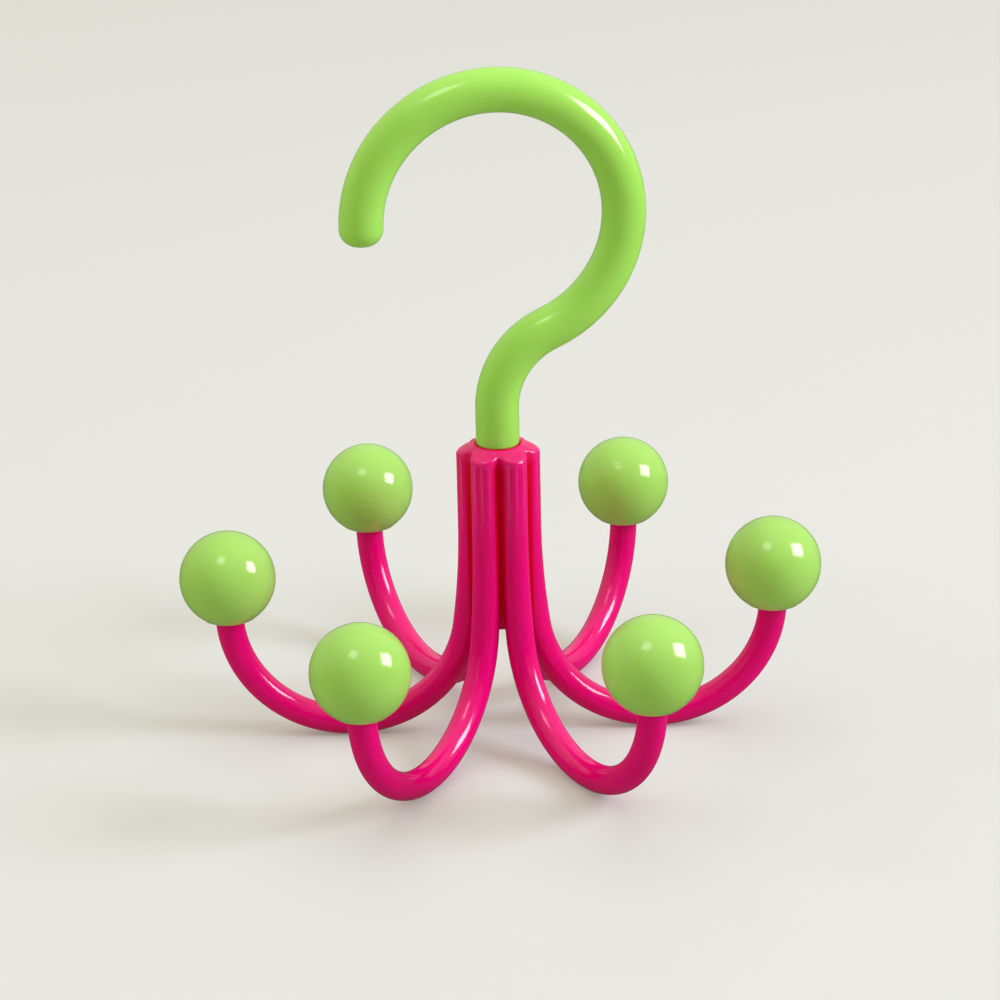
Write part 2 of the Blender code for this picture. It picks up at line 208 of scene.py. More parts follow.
def run_along(x, z, heading, runs):
    """Points (x, z) along straight runs (a length) and arcs (radius, turn, step).

    A heading turns from +Z to +X."""
    points = [(x, z)]
    for run in runs:
        if isinstance(run, float):
            x += run * math.sin(heading)
            z += run * math.cos(heading)
            points.append((x, z))
            continue
        radius, turn, step = run
        side = math.copysign(radius, turn)
        middle_x = x + side * math.cos(heading)
        middle_z = z - side * math.sin(heading)
        count = math.ceil(abs(turn) / step)
        for i in range(1, count + 1):
            angle = heading + turn * i / count
            x = middle_x - side * math.cos(angle)
            z = middle_z + side * math.sin(angle)
            points.append((x, z))
        heading += turn
    return points


def quarter(radius, start, end):
    """(right, up) offsets from the middle of a rounding, between two angles above the horizontal."""
    angles = [start + (end - start) * i / ROUND_STEPS for i in range(ROUND_STEPS + 1)]
    return [(radius * math.cos(a), radius * math.sin(a)) for a in angles]


def line_mesh(name, points, shares=None):
    """A chain of points in the XZ plane, with the share of the section's size at each."""
    mesh = bpy.data.meshes.new(name)
    mesh.from_pydata([(x, 0.0, z) for x, z in points], [(i, i + 1) for i in range(len(points) - 1)], [])
    if shares:
        mesh.attributes.new("share", "FLOAT", "POINT").data.foreach_set("value", shares)
    return mesh


def section_mesh(radius, sides):
    """A round section with the fine ridges that two mould halves leave, in the plane of the bends."""
    half = RIDGE_HALF_WIDTH / radius
    ridge = [(-half, 0.0), (-half / 2, 0.7), (0.0, 1.0), (half / 2, 0.7), (half, 0.0)]
    spots = [(math.tau * i / sides, 0.0) for i in range(sides) if i % (sides // 2)]
    spots += [(side + turn, rise) for side in (0.0, math.pi) for turn, rise in ridge]
    spots.sort(key=lambda spot: spot[0] % math.tau)
    points = []
    for turn, rise in spots:
        reach = radius - RIDGE_HEIGHT * (1 - rise)
        points.append((reach * math.cos(turn), reach * math.sin(turn), 0.0))
    mesh = bpy.data.meshes.new("section")
    mesh.from_pydata(points, [(i, (i + 1) % len(points)) for i in range(len(points))], [])
    return mesh


# Geometry and shader trees


def add(tree, kind, links=None, **settings):
    """Adds a node with its settings. Each link is an input's name or number, with a value or an output."""
    node = tree.nodes.new(kind)
    for name, value in settings.items():
        setattr(node, name, value)
    for key, value in (links or {}).items():
        if isinstance(value, bpy.types.Node):
            value = value.outputs[0]
        if isinstance(value, bpy.types.NodeSocket):
            tree.links.new(value, node.inputs[key])
        else:
            node.inputs[key].default_value = value
    return node


def new_tree(name, inputs):
    """A geometry tree with named inputs, each with its kind and value."""
    tree = bpy.data.node_groups.new(name, "GeometryNodeTree")
    for label, kind, value in inputs:
        socket = tree.interface.new_socket(label, in_out="INPUT", socket_type="NodeSocket" + kind)
        if value is not None:
            socket.default_value = value
    tree.interface.new_socket("Result", in_out="OUTPUT", socket_type="NodeSocketGeometry")
    return tree


def apply_tree(obj, tree, values):
    """Puts the tree on the object, sets its inputs by their identifiers and settles the result."""
    modifier = obj.modifiers.new(tree.name, "NODES")
    modifier.node_group = tree
    for item in tree.interface.items_tree:
        if item.in_out == "INPUT" and item.name in values:
            modifier[item.identifier] = values[item.name]
    return settle(obj)


def rod_tree():
    """Sweeps a section along a line of points, with the share of its size at each."""
    tree = new_tree(
        "swept rod",
        [("Line", "Geometry", None), ("Section", "Object", None), ("Finish", "Material", None)],
    )
    given = add(tree, "NodeGroupInput").outputs
    share = add(tree, "GeometryNodeInputNamedAttribute", {"Name": "share"}, data_type="FLOAT")
    line = add(tree, "GeometryNodeMeshToCurve", {"Mesh": given["Line"]})
    source = add(tree, "GeometryNodeObjectInfo", {"Object": given["Section"]})
    section = add(tree, "GeometryNodeMeshToCurve", {"Mesh": source.outputs["Geometry"]})
    swept = add(
        tree,
        "GeometryNodeCurveToMesh",
        {"Curve": line, "Profile Curve": section, "Scale": share, "Fill Caps": True},
    )
    real = add(tree, "GeometryNodeRealizeInstances", {"Geometry": swept})
    finish = add(tree, "GeometryNodeSetMaterial", {"Geometry": real, "Material": given["Finish"]})
    add(tree, "NodeGroupOutput", {"Result": finish})
    return tree


def thread_tree():
    """Winds a three-sided thread round the screw's shank."""
    tree = new_tree(
        "screw thread",
        [
            ("Shank", "Geometry", None),
            ("Radius", "Float", 0.001),
            ("Depth", "Float", 0.0003),
            ("Turns", "Float", 10.0),
            ("Height", "Float", 0.01),
            ("Finish", "Material", None),
        ],
    )
    given = add(tree, "NodeGroupInput").outputs
    inner = add(tree, "ShaderNodeMath", {0: given["Radius"], 1: given["Depth"]}, operation="SUBTRACT")
    helix = add(
        tree,
        "GeometryNodeCurveSpiral",
        {
            "Resolution": 28,
            "Rotations": given["Turns"],
            "Start Radius": inner,
            "End Radius": inner,
            "Height": given["Height"],
        },
    )
    crest = add(tree, "GeometryNodeCurvePrimitiveCircle", {"Resolution": 3, "Radius": given["Depth"]})
    thread = add(
        tree,
        "GeometryNodeCurveToMesh",
        {"Curve": helix, "Profile Curve": crest.outputs["Curve"], "Fill Caps": True},
    )
    real = add(tree, "GeometryNodeRealizeInstances", {"Geometry": thread})
    finish = add(tree, "GeometryNodeSetMaterial", {"Geometry": real, "Material": given["Finish"]})
    add(tree, "NodeGroupOutput", {"Result": finish})
    return tree


# Solids of the workshop


def turned(name, profile, closed=False):
    """A solid turned round Z from (radius, height) points that run down its outer side."""
    edges = [(i, i + 1) for i in range(len(profile) - 1)]
    if closed:
        edges.append((len(profile) - 1, 0))
    mesh = bpy.data.meshes.new(name)
    mesh.from_pydata([(radius, 0.0, height) for radius, height in profile], edges, [])
    obj = new_piece(name, mesh)
    screw = obj.modifiers.new("turn", "SCREW")
    screw.steps = TURN_STEPS
    screw.render_steps = TURN_STEPS
    screw.use_merge_vertices = True
    screw.merge_threshold = NUDGE / 20
    return settle(obj)


def block(name, low, high, turn=0.0):
    """A box between two corners, turned about Z."""
    mesh = bpy.data.meshes.new(name)
    shape = bmesh.new()
    size = [b - a for a, b in zip(low, high)]
    middle = [(a + b) / 2 for a, b in zip(low, high)]
    spot = Matrix.Rotation(turn, 4, "Z") @ Matrix.Translation(middle) @ Matrix.Diagonal((*size, 1.0))
    bmesh.ops.create_cube(shape, size=1.0, matrix=spot)
    shape.to_mesh(mesh)
    shape.free()
    return new_piece(name, mesh)


def combine(obj, other, operation):
    """Cuts or joins another solid, which is then removed."""
    modifier = obj.modifiers.new(operation.lower(), "BOOLEAN")
    modifier.operation = operation
    modifier.object = other
    modifier.solver = "EXACT"
    settle(obj)
    drop(other)
    return obj


def cut_off(obj, point, normal):
    """Removes what lies beyond a plane, on its normal's side, and closes the cut."""
    shape = bmesh.new()
    shape.from_mesh(obj.data)
    geometry = shape.verts[:] + shape.edges[:] + shape.faces[:]
    cut = bmesh.ops.bisect_plane(shape, geom=geometry, plane_co=point, plane_no=normal, clear_outer=True)
    rim = [edge for edge in cut["geom_cut"] if isinstance(edge, bmesh.types.BMEdge)]
    bmesh.ops.holes_fill(shape, edges=rim, sides=0)
    shape.to_mesh(obj.data)
    shape.free()
    return obj


def arm_turn(number):
    """The angle of an arm round the swivel axis."""
    return math.tau * (number - 1) / ARM_COUNT


def groove_fill(spot, melt):
    """How far the fillet between two rods stands out from their circles: nothing, away from the groove."""
    turn = math.tau / ARM_COUNT
    axes = (Vector((ARM_PITCH_RADIUS, 0.0)), ARM_PITCH_RADIUS * Vector((math.cos(turn), math.sin(turn))))
    apart = abs((spot - axes[0]).length - (spot - axes[1]).length)
    return melt / 4 * max(0.0, 1.0 - apart / melt) ** 2


def ease(share):
    """Goes softly from 0 to 1."""
    share = min(1.0, max(0.0, share))
    return share * share * (3 - 2 * share)


def lay_crown(arm):
    """Fillets an arm to its neighbours in the hub, and lays its top to the hub's cone with a rounded edge.

    The fillet fades out downwards, where the arms part. The edge follows the outline of all the rods."""
    axis = Vector((ARM_PITCH_RADIUS, 0.0))
    edge_z = HUB_TOP_Z - RIM_DROP - SHOULDER_ROUND
    for vertex in arm.data.vertices:
        x, y, z = vertex.co
        if z < GROOVE_FADE_Z or x > 2 * ARM_PITCH_RADIUS:
            continue
        spoke = Vector((x, abs(y))) - axis
        melt = GROOVE_MELT + (CROWN_MELT - GROOVE_MELT) * ease((z - CROWN_FADE_Z) / (edge_z - CROWN_FADE_Z))
        wall = ARM_RADIUS
        for _ in range(4):
            wall = ARM_RADIUS + groove_fill(axis + spoke.normalized() * wall, melt)
        share = ease((z - GROOVE_FADE_Z) / (FLARE_TOP_Z - GROOVE_FADE_Z))
        spot = axis + spoke * (1 + (wall / ARM_RADIUS - 1) * share)
        if z > HUB_TOP_Z - SHOULDER_ROUND:
            depth = ARM_RADIUS - (spot - axis).length + groove_fill(spot, melt)
            near = min(1.0, max(0.0, 1.0 - depth / SHOULDER_ROUND))
            cone = RIM_SLOPE * (spot.length - RIM_RADIUS)
            z = CROWN_TOP_Z - cone - SHOULDER_ROUND * (1 - math.sqrt(1 - near * near))
        vertex.co = (spot.x, math.copysign(spot.y, y), z)


def make_arm(tree, section, finish):
    """One arm along +X: a bent round rod, with its top laid to the hub's cone and cut to fit the core."""
    # Rings from the middle of the top to its edge, where they are close together, then down the wall
    insets = [ARM_RADIUS * (1 - share) for share in (0.004, 0.15, 0.3, 0.45, 0.6)]
    insets += [SHOULDER_ROUND * (1 - math.sin(math.pi / 2 * i / 9)) for i in range(10)]
    top = [(HUB_TOP_Z - i * NUDGE, 1 - inset / ARM_RADIUS) for i, inset in enumerate(insets)]
    below = HUB_TOP_Z - RIM_DROP - SHOULDER_ROUND - NUDGE
    top += [(below + (CROWN_FADE_Z - below) * i / 8, 1.0) for i in range(9)]
    runs = [
        HUB_TOP_Z - FLARE_TOP_Z,
        (FLARE_RADIUS, -FLARE_TURN, FLARE_STEP),
        (BEND_RADIUS, FLARE_TURN - math.pi / 2, BEND_STEP),
        (BEND_RADIUS, -math.pi / 2, BEND_STEP),
    ]
    line = run_along(ARM_PITCH_RADIUS, HUB_TOP_Z, math.pi, runs)[1:]
    end_x = line[-1][0]
    end = [
        (KNOB_Z - END_ROUND + up, (ARM_RADIUS - END_ROUND + right) / ARM_RADIUS)
        for right, up in quarter(END_ROUND, 0.0, math.pi / 2)
    ]
    end.append((KNOB_Z + NUDGE, 0.004))
    points = [(ARM_PITCH_RADIUS, z) for z, share in top] + line + [(end_x, z) for z, share in end]
    shares = [share for z, share in top] + [1.0] * len(line) + [share for z, share in end]
    arm = new_piece("arm", line_mesh("arm", points, shares))
    apply_tree(arm, tree, {"Section": section, "Finish": finish})
    lay_crown(arm)
    for side in (1, -1):
        seam = math.pi / ARM_COUNT * side
        normal = Vector((-math.sin(seam) * side, math.cos(seam) * side, 0.0))
        cut_off(arm, -normal * SEAM_GAP / 2, normal)
    cut_off(arm, (0.0, 0.0, 0.0), (0.0, 0.0, -1.0))

    lip_z = CORE_TOP_Z + ROOT_CLEARANCE
    foot_z = HUB_BOTTOM_Z - ROOT_CLEARANCE
    rim_z = CROWN_TOP_Z + RIM_SLOPE * (RIM_RADIUS - CROWN_HOLE_RADIUS)
    rim = [
        (CROWN_HOLE_RADIUS + RIM_ROUND - right, rim_z - RIM_ROUND + up)
        for right, up in reversed(quarter(RIM_ROUND, 0.0, math.pi / 2))
    ]
    core_space = [
        (0.0, HUB_TOP_Z + OVERRUN),
        (CROWN_HOLE_RADIUS + RIM_ROUND, HUB_TOP_Z + OVERRUN),
        *rim,
        (CROWN_HOLE_RADIUS, lip_z),
        (CORE_RADIUS + ROOT_CLEARANCE, lip_z),
        (CORE_RADIUS + ROOT_CLEARANCE, foot_z),
        (0.0, foot_z),
    ]
    combine(arm, turned("core_space", core_space), "DIFFERENCE")
    key_low = (CORE_RADIUS - KEY_DEPTH, -KEY_WIDTH / 2, KEY_BOTTOM_Z)
    key_high = (ARM_PITCH_RADIUS, KEY_WIDTH / 2, KEY_TOP_Z)
    return combine(arm, block("key", key_low, key_high), "UNION")


def fin(turn):
    """A narrow fin of the core, that closes the gap between two arms where they part."""
    mesh = bpy.data.meshes.new("fin")
    root = CORE_RADIUS - EDGE_ROUND
    half = FIN_WIDTH / 2
    reaches = ((HUB_BOTTOM_Z + EDGE_ROUND, FIN_FOOT_REACH), (FIN_TOP_Z, FIN_TOP_REACH))
    points = []
    for z, reach in reaches:
        points += [(root, -half, z), (reach, -half, z), (reach, half, z), (root, half, z)]
    faces = [(3, 2, 1, 0), (4, 5, 6, 7)] + [(i, (i + 1) % 4, (i + 1) % 4 + 4, i + 4) for i in range(4)]
    mesh.from_pydata(points, [], faces)
    mesh.transform(Matrix.Rotation(turn, 4, "Z"))
    return new_piece("fin", mesh)


def make_core():
    """The turned core, with rounded edges, a slot for each arm's key and a fin in each slit."""
    profile = [
        (BORE_RADIUS + EDGE_ROUND, CORE_TOP_Z),
        (CORE_RADIUS - EDGE_ROUND, CORE_TOP_Z),
        (CORE_RADIUS, CORE_TOP_Z - EDGE_ROUND),
        (CORE_RADIUS, HUB_BOTTOM_Z + EDGE_ROUND),
        (CORE_RADIUS - EDGE_ROUND, HUB_BOTTOM_Z),
        (POCKET_RADIUS + EDGE_ROUND, HUB_BOTTOM_Z),
        (POCKET_RADIUS, HUB_BOTTOM_Z + EDGE_ROUND),
        (POCKET_RADIUS, POCKET_TOP_Z - EDGE_ROUND),
        (POCKET_RADIUS - EDGE_ROUND, POCKET_TOP_Z),
        (BORE_RADIUS + EDGE_ROUND, POCKET_TOP_Z),
        (BORE_RADIUS, POCKET_TOP_Z + EDGE_ROUND),
        (BORE_RADIUS, CORE_TOP_Z - EDGE_ROUND),
    ]
    core = turned("core", profile, closed=True)
    half = KEY_WIDTH / 2 + KEY_CLEARANCE
    low = (CORE_RADIUS - KEY_DEPTH - KEY_CLEARANCE, -half, KEY_BOTTOM_Z - KEY_CLEARANCE)
    high = (CORE_RADIUS + OVERRUN, half, KEY_TOP_Z + KEY_CLEARANCE)
    for number in range(1, ARM_COUNT + 1):
        combine(core, block("slot", low, high, arm_turn(number)), "DIFFERENCE")
    for number in range(1, ARM_COUNT + 1):
        combine(core, fin(arm_turn(number + 0.5)), "UNION")
    return core


def arc_points(radius, start, end, step):
    """Points on a circle about the origin, from one angle above the horizontal to another."""
    count = max(1, math.ceil(abs(end - start) / step))
    angles = [start + (end - start) * i / count for i in range(count + 1)]
    return [(radius * math.cos(a), radius * math.sin(a)) for a in angles]


def make_cup():
    """The lower half of a knob: its flat, the socket for the arm's end and the rounded rim of the seam."""
    inner = KNOB_RADIUS - KNOB_WALL
    boss = SOCKET_RADIUS + SOCKET_WALL
    boss_top = SOCKET_TOP + SOCKET_END
    floor_angle = -math.acos(boss / inner)
    flat_angle = -math.acos((KNOB_FLAT_RADIUS + KNOB_FLAT_ROUND) / KNOB_RADIUS)
    flat_z = -math.sqrt(KNOB_RADIUS**2 - KNOB_FLAT_RADIUS**2)
    seam_angle = -math.asin(SEAM_ROUND / KNOB_RADIUS)
    rim = [(KNOB_RADIUS - SEAM_ROUND + r, -SEAM_ROUND + u) for r, u in quarter(SEAM_ROUND, math.pi / 2, 0.0)]
    ball = arc_points(KNOB_RADIUS, seam_angle, flat_angle, BEND_STEP)
    edge_x, edge_z = ball[-1]
    inward, down = KNOB_FLAT_RADIUS - edge_x, flat_z - edge_z
    flat = [(edge_x + inward * t, edge_z + down * (1 - (1 - t) ** 2)) for t in (0.4, 0.75, 1.0)]
    profile = [
        (0.0, boss_top),
        (boss, boss_top),
        *arc_points(inner, floor_angle, 0.0, 2 * BEND_STEP),
        *rim,
        *ball[1:],
        *flat,
        (KNOB_FLAT_RADIUS - KNOB_FLAT_ROUND, flat_z),
        (SOCKET_RADIUS + EDGE_ROUND, flat_z),
        (SOCKET_RADIUS, flat_z + EDGE_ROUND),
        (SOCKET_RADIUS, SOCKET_TOP),
        (0.0, SOCKET_TOP),
    ]
    return turned("cup", profile)


def make_cap():
    """The upper half of a knob: a dome with a rounded seam edge and a lip that sits inside the cup's rim."""
    inner = KNOB_RADIUS - KNOB_WALL
    lip_outer = inner - LIP_CLEARANCE
    lip_inner = lip_outer - LIP_WALL
    start = math.asin((KNOB_SEAM + SEAM_ROUND) / KNOB_RADIUS)
    dome = arc_points(KNOB_RADIUS, math.pi / 2, start, BEND_STEP)
    rim = [
        (KNOB_RADIUS - SEAM_ROUND + r, KNOB_SEAM + SEAM_ROUND + u)
        for r, u in quarter(SEAM_ROUND, 0.0, -math.pi / 2)
    ]
    inside = arc_points(inner, math.acos(lip_inner / inner), math.pi / 2, 2 * BEND_STEP)
    profile = [
        (0.0, KNOB_RADIUS),
        *dome[1:-1],
        *rim,
        (lip_outer, KNOB_SEAM),
        (lip_outer, -LIP_DEPTH),
        (lip_inner, -LIP_DEPTH),
        *inside[:-1],
        (0.0, inner),
    ]
    return turned("cap", profile)


def make_hook(tree, section, finish):
    """The hook in its own plane: journal, shoulder, shank, S-bend, crook and round tip in one sweep."""
    journal = JOURNAL_RADIUS / ROD_RADIUS
    spigot = SPIGOT_RADIUS / ROD_RADIUS
    foot = [
        (JOURNAL_END_Z, journal * 0.02),
        (JOURNAL_END_Z + NUDGE, journal - EDGE_ROUND / ROD_RADIUS),
        (JOURNAL_END_Z + EDGE_ROUND, journal),
        (SHOULDER_Z, journal),
        (SHOULDER_Z + NUDGE, spigot),
        (FOOT_Z, spigot),
        *[
            (FOOT_Z + FOOT_ROUND + up, (ROD_RADIUS - FOOT_ROUND + right) / ROD_RADIUS)
            for right, up in quarter(FOOT_ROUND, -math.pi / 2, 0.0)
        ],
    ]
    foot_top = foot[-1][0]
    crook_turn = math.pi + NECK_TURN - RETURN_TURN
    runs = [
        HUB_TOP_Z + HOOK_NECK - foot_top,
        (NECK_BEND_RADIUS, NECK_TURN, BEND_STEP),
        (RETURN_RADIUS, -RETURN_TURN, BEND_STEP),
        (CROOK_RADIUS, -crook_turn, BEND_STEP),
    ]
    line = run_along(0.0, foot_top, 0.0, runs)[1:]
    tip_x, tip_z = line[-1]
    face = 1 - TIP_ROUND / ROD_RADIUS
    tip = [
        (tip_z - TIP_ROUND * math.sin(a), face + (1 - face) * math.cos(a))
        for a in [math.pi / 2 * i / (2 * ROUND_STEPS) for i in range(1, 2 * ROUND_STEPS + 1)]
    ]
    tip += [(tip_z - TIP_ROUND - TIP_DOME * (1 - t * t), face * t) for t in (0.66, 0.33, 0.01)]
    points = [(0.0, z) for z, share in foot] + line + [(tip_x, z) for z, share in tip]
    shares = [share for z, share in foot] + [1.0] * len(line) + [share for z, share in tip]
    hook = new_piece("swivel_hook_smooth", line_mesh("hook", points, shares))
    apply_tree(hook, tree, {"Section": section, "Finish": finish})
    pilot = [
        (0.0, PILOT_TOP_Z),
        (PILOT_RADIUS, PILOT_TOP_Z),
        (PILOT_RADIUS, JOURNAL_END_Z - OVERRUN),
        (0.0, JOURNAL_END_Z - OVERRUN),
    ]
    combine(hook, turned("pilot", pilot), "DIFFERENCE")
    return place(hook, Matrix.Rotation(HOOK_REST_TURN, 4, "Z"))


def make_washer():
    """A flat washer with stamped, slightly rounded edges."""
    low = JOURNAL_END_Z - WASHER_THICKNESS
    edge = EDGE_ROUND / 2
    profile = [
        (PILOT_RADIUS + edge, JOURNAL_END_Z),
        (WASHER_RADIUS - edge, JOURNAL_END_Z),
        (WASHER_RADIUS, JOURNAL_END_Z - edge),
        (WASHER_RADIUS, low + edge),
        (WASHER_RADIUS - edge, low),
        (PILOT_RADIUS + edge, low),
        (PILOT_RADIUS, low + edge),
        (PILOT_RADIUS, JOURNAL_END_Z - edge),
    ]
    return turned("retaining_washer_smooth", profile, closed=True)


def make_screw(finish):
    """A pan-head screw with a cross recess and a wound thread."""
    seat = JOURNAL_END_Z - WASHER_THICKNESS
    bottom = seat - SCREW_HEAD_HEIGHT
    root = SCREW_RADIUS - THREAD_DEPTH
    crown = [
        (SCREW_HEAD_RADIUS * math.cos(a), bottom + SCREW_CROWN * (1 - math.sin(a)))
        for a in [math.pi / 2 * i / 10 for i in range(10)]
    ]
    profile = [
        (0.0, SCREW_TIP_Z),
        (root * 0.6, SCREW_TIP_Z - 0.4 * SCREW_POINT),
        (root, SCREW_TIP_Z - SCREW_POINT),
        (root, seat),
        (SCREW_HEAD_RADIUS - EDGE_ROUND, seat),
        (SCREW_HEAD_RADIUS, seat - EDGE_ROUND),
        *crown,
        (0.0, bottom),
    ]
    screw = turned("retaining_screw_smooth", profile)
    for turn in (0.0, math.pi / 2):
        low = (-RECESS_REACH, -RECESS_HALF_WIDTH, bottom - OVERRUN)
        high = (RECESS_REACH, RECESS_HALF_WIDTH, bottom + RECESS_DEPTH)
        combine(screw, block("recess", low, high, turn + HOOK_REST_TURN), "DIFFERENCE")
    thread = new_piece("thread", bpy.data.meshes.new("thread"))
    start = seat + THREAD_START
    height = SCREW_TIP_Z - SCREW_POINT - THREAD_DEPTH - start
    values = {
        "Radius": SCREW_RADIUS,
        "Depth": THREAD_DEPTH,
        "Turns": height / THREAD_PITCH,
        "Height": height,
        "Finish": finish,
    }
    apply_tree(thread, thread_tree(), values)
    place(thread, Matrix.Translation((0.0, 0.0, start)))
    return combine(screw, thread, "UNION")


# Finishes

# The size of each pattern's features
FLOW_SIZE = 22.0 * MM
SEAM_HIGHLIGHT_PATCH_SIZE = 11.0 * MM
RUB_PATCH_SIZE = 9.0 * MM
MARK_LENGTH = 10.0 * MM
MARK_WIDTH = 0.5 * MM
MARK_SPACING = 3.5 * MM
PEEL_SIZE = 2.5 * MM
PEEL_HEIGHT = 0.02 * MM
CLOUD_SIZE = 1.4 * MM
RING_PITCH = 0.29 * MM
RING_HEIGHT = 0.01 * MM

# The gloss's roughness, least and most, and what rub marks and the hub's crown add to it
GLOSS = (0.1, 0.14)
MARK_DULLNESS = 0.16
CROWN_DULLNESS = 0.16
CROWN_DULL_FROM = 3.2 * MM
CROWN_DULL_TO = 2.4 * MM

# How far from the swivel axis shade is painted, as a deeper red, into the grooves between the rods and round
# the shank's foot
JOINT_SHADE_REACH = 7.8 * MM
JOINT_SHADE_END = 8.35 * MM
JOINT_SHADE_FADE = 4.0 * MM
JOINT_SHINE = 0.1
FOOT_SHADE_REACH = CROWN_HOLE_RADIUS + 0.35 * MM
FOOT_SHADE_END = CROWN_HOLE_RADIUS + 0.6 * MM

# In the trees below, a Map Range's input 0 is the value, 1 and 2 are its limits, and 3 and 4 are what they
# become. A Mix Shader's input 0 is the share of the second shader.


def linear(hex_colour):
    """A hex colour as linear red, green, blue and alpha."""
    channels = [int(hex_colour[i : i + 2], 16) / 255 for i in (1, 3, 5)]
    return [c / 12.92 if c <= 0.04045 else ((c + 0.055) / 1.055) ** 2.4 for c in channels] + [1.0]


def new_finish(name):
    """An empty material with its shader and object coordinates."""
    material = bpy.data.materials.new(name)
    material.use_nodes = True
    tree = material.node_tree
    shader = tree.nodes["Principled BSDF"]
    coords = add(tree, "ShaderNodeTexCoord").outputs["Object"]
    return material, tree, shader, coords


